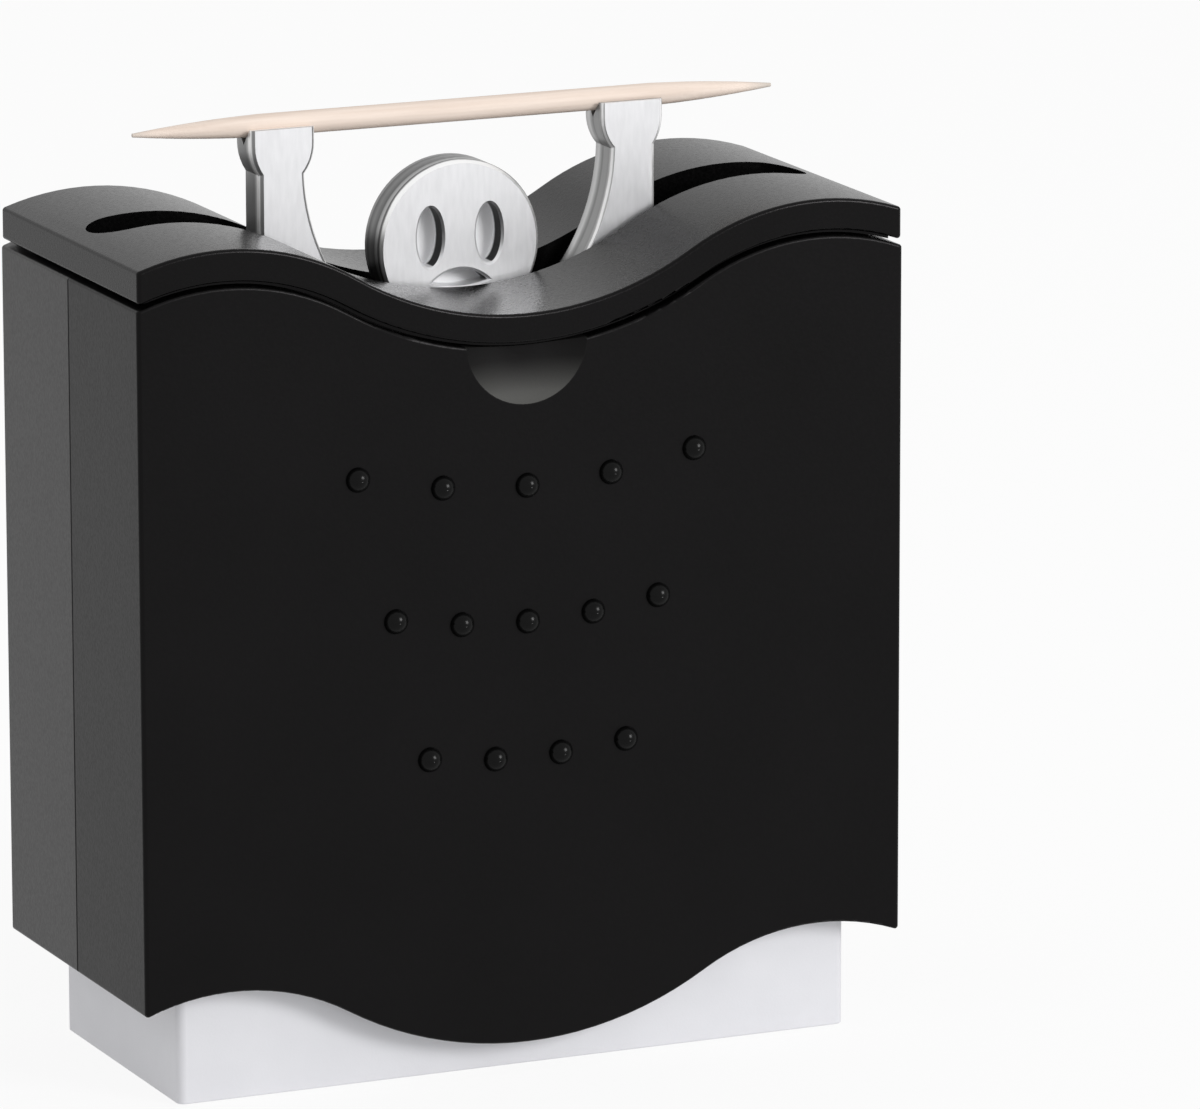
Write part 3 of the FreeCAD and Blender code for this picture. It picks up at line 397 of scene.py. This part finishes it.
# painted shade: the walls that face left and down are black, the others pale
wall_facing = figure_tree.nodes.new("ShaderNodeTexCoord")
wall_turn = figure_tree.nodes.new("ShaderNodeVectorMath")
wall_turn.operation = "DOT_PRODUCT"
wall_turn.inputs[1].default_value = wall_shade_from
figure_tree.links.new(wall_facing.outputs["Normal"], wall_turn.inputs[0])
shaded = ranged(figure_tree, wall_turn.outputs["Value"], *wall_shade_limits, 0.0, 1.0)
wall_tone_with_painted_shade = two_tone(figure_tree, shaded, wall_pale, painted_shade_black)
rim_tone = two_tone(figure_tree, on_chamfer, wall_tone_with_painted_shade, face_tone)
recess_tone = two_tone(figure_tree, on_floor, rim_tone, floor_white)
# the painted reflection bands wander a little along the edge, with a noise
band_wobble = speckle(figure_tree, band_wander_fineness, stretch=band_wander_stretch)
band_shift = noisy(figure_tree, band_wobble, -band_wander, band_wander)
wandering = worked(figure_tree, "ADD", through_plate, band_shift)
head_tone, left_arm_tone, right_arm_tone = (
    banded(figure_tree, wandering, bands) for bands in (head_reflection_bands, left_arm_reflection_bands, right_arm_reflection_bands)
)
arm_tone = two_tone(figure_tree, on_left_arm, right_arm_tone, left_arm_tone)
painted_reflection_tone = two_tone(figure_tree, on_arm, head_tone, arm_tone)
edge_tone = two_tone(figure_tree, in_recess, painted_reflection_tone, recess_tone)
paint(
    figure_tree, figure_shader, two_tone(figure_tree, on_face, edge_tone, floor_tone),
    noisy(figure_tree, satin, *satin_roughness),
)

# bare metal shines more than the satin face, the walls in painted shade are black metal, and the white
# floors don't shine as metal at all
face_metal = ranged(figure_tree, on_floor, 0.0, 1.0, face_metal_share, 0.0)
shaded_metal = ranged(figure_tree, shaded, 0.0, 1.0, face_metal_share, 1.0)
wall_metal = worked(figure_tree, "SUBTRACT", shaded_metal, on_floor)
sawn_metal = ranged(figure_tree, on_arm, 0.0, 1.0, 1.0, arm_metal_share)
edge_metal = two_tone(figure_tree, in_recess, sawn_metal, wall_metal)
figure_tree.links.new(
    two_tone(figure_tree, on_face, edge_metal, face_metal), figure_shader.inputs["Metallic"]
)
emboss(figure_tree, figure_shader, satin, satin_depth, share=0.5)
dress(figure_metal, "lifter_figure")

# Case: the two shells and the hopper are moulded black plastic with a fine spark-eroded texture.
# The shells meet in a tongue and groove at the ends. The rear one is glossier, so its side looks
# paler, and the front's finger scoop has painted light: it is paler along its lower, upward-facing
# part.
case_dark = (0.0009, 0.0009, 0.0009)
case_rubbed = (0.0018, 0.0017, 0.0018)
case_sheen_tint = (1.0, 0.965, 0.985, 1.0)
front_gloss = 0.11
rear_gloss = 0.24
shell_roughness = (0.30, 0.38)
hopper_gloss = 0.2
hopper_roughness = (0.5, 0.6)
rubbing_fineness = 60.0
grain_fineness = 3200.0
grain_depth = 0.00002
scoop_z = 0.0704
scoop_reach = 0.0061
scoop_back = -0.0161
scoop_blend = 0.0001
# painted light on the scoop: its lower, upward-facing part is paler, where the light from above falls
# on it
scoop_painted_light = (0.082, 0.082, 0.078)
scoop_light_from = 0.0684
scoop_light_to = 0.0654
scoop_light_rise = 0.5
scoop_least_light = 0.1
scoop_softness = 0.6


def moulded_black(name, gloss, roughness):
    # black plastic: the gloss is its specular level, and the roughness has two limits
    material, tree, shader = new_finish(name, Specular_IOR_Level=gloss, Specular_Tint=case_sheen_tint)
    rubbing = speckle(tree, rubbing_fineness, detail=4.0)
    grain = speckle(tree, grain_fineness, detail=2.0)
    tone = mottled(tree, rubbing, case_dark, case_rubbed)
    softness = noisy(tree, grain, *roughness)
    paint(tree, shader, tone, softness)
    emboss(tree, shader, grain, grain_depth, share=0.5)
    return material, tree, shader, tone, softness


front_black, front_tree, front_shader, front_tone, front_softness = moulded_black(
    "moulded_front_black", front_gloss, shell_roughness
)
front_y, front_z = axes_of(front_tree, "Object")[1:]
front_rise = axes_of(front_tree, "Normal")[2]
in_scoop = worked(
    front_tree, "MULTIPLY", within_round(front_tree, scoop_z, scoop_reach, scoop_blend),
    ranged(front_tree, front_y, scoop_back, scoop_back + scoop_blend, 1.0, 0.0),
)
# painted light: paler where the scoop faces up, and more so towards its lower edge
lit_low = worked(
    front_tree, "MULTIPLY",
    ranged(front_tree, front_rise, 0.0, scoop_light_rise, scoop_least_light, 1.0),
    ranged(front_tree, front_z, scoop_light_from, scoop_light_to, scoop_least_light, 1.0),
)
scoop_lit = worked(front_tree, "MULTIPLY", in_scoop, lit_low)
scoop_dulled = worked(front_tree, "MULTIPLY", in_scoop, scoop_softness)
paint(
    front_tree, front_shader, two_tone(front_tree, scoop_lit, front_tone, scoop_painted_light),
    worked(front_tree, "MAXIMUM", front_softness, scoop_dulled),
)
dress(front_black, "front_shell")
dress(moulded_black("moulded_rear_black", rear_gloss, shell_roughness)[0], "rear_shell")
dress(moulded_black("moulded_hopper_black", hopper_gloss, hopper_roughness)[0], "hopper_tray")

# Studs: polished black domes on pins, pressed into holes in the front. Fine polishing marks show
# only in their highlights.
stud_colour = (0.001, 0.001, 0.001, 1.0)
stud_gloss = 0.12
stud_roughness = (0.17, 0.23)
polish_fineness = 2500.0
polished_black, stud_tree, stud_shader = new_finish(
    "polished_stud_black", Base_Color=stud_colour, Specular_IOR_Level=stud_gloss
)
polish = speckle(stud_tree, polish_fineness)
stud_tree.links.new(noisy(stud_tree, polish, *stud_roughness), stud_shader.inputs["Roughness"])
dress(polished_black, "stud_row_top", "stud_row_middle", "stud_row_bottom")

# Lid: a loose moulding of the case's black plastic, whose plug drops into the case. Its mould is
# smoother, so that its waves mirror the room and the figure.
lid_gloss = 0.115
lid_roughness = (0.22, 0.30)
dress(moulded_black("moulded_lid_black", lid_gloss, lid_roughness)[0], "lid")

# Toothpick: a stick turned from pale wood, with its grain along it. It lies loose on the figure's
# hands. Its points are drier and greyer.
wood_pale = (0.88, 0.755, 0.665)
wood_fibre = (0.79, 0.66, 0.57)
wood_dry = (0.62, 0.56, 0.50)
wood_gloss = 0.25
wood_roughness = (0.6, 0.8)
fibre_fineness = 2600.0
fibre_stretch = (0.03, 1.0, 1.0)
fibre_depth = 0.00004
dry_limits = (0.030, 0.0325)
pale_wood, wood_tree, wood_shader = new_finish("pale_wood", Specular_IOR_Level=wood_gloss)
fibres = speckle(wood_tree, fibre_fineness, detail=4.0, stretch=fibre_stretch)
along_stick = worked(wood_tree, "ABSOLUTE", axes_of(wood_tree, "Object")[0])
dryness = ranged(wood_tree, along_stick, *dry_limits, 0.0, 1.0)
grained = mottled(wood_tree, fibres, wood_pale, wood_fibre)
paint(
    wood_tree, wood_shader, two_tone(wood_tree, dryness, grained, wood_dry),
    noisy(wood_tree, fibres, *wood_roughness),
)
emboss(wood_tree, wood_shader, fibres, fibre_depth, share=0.6)
dress(pale_wood, "toothpick")
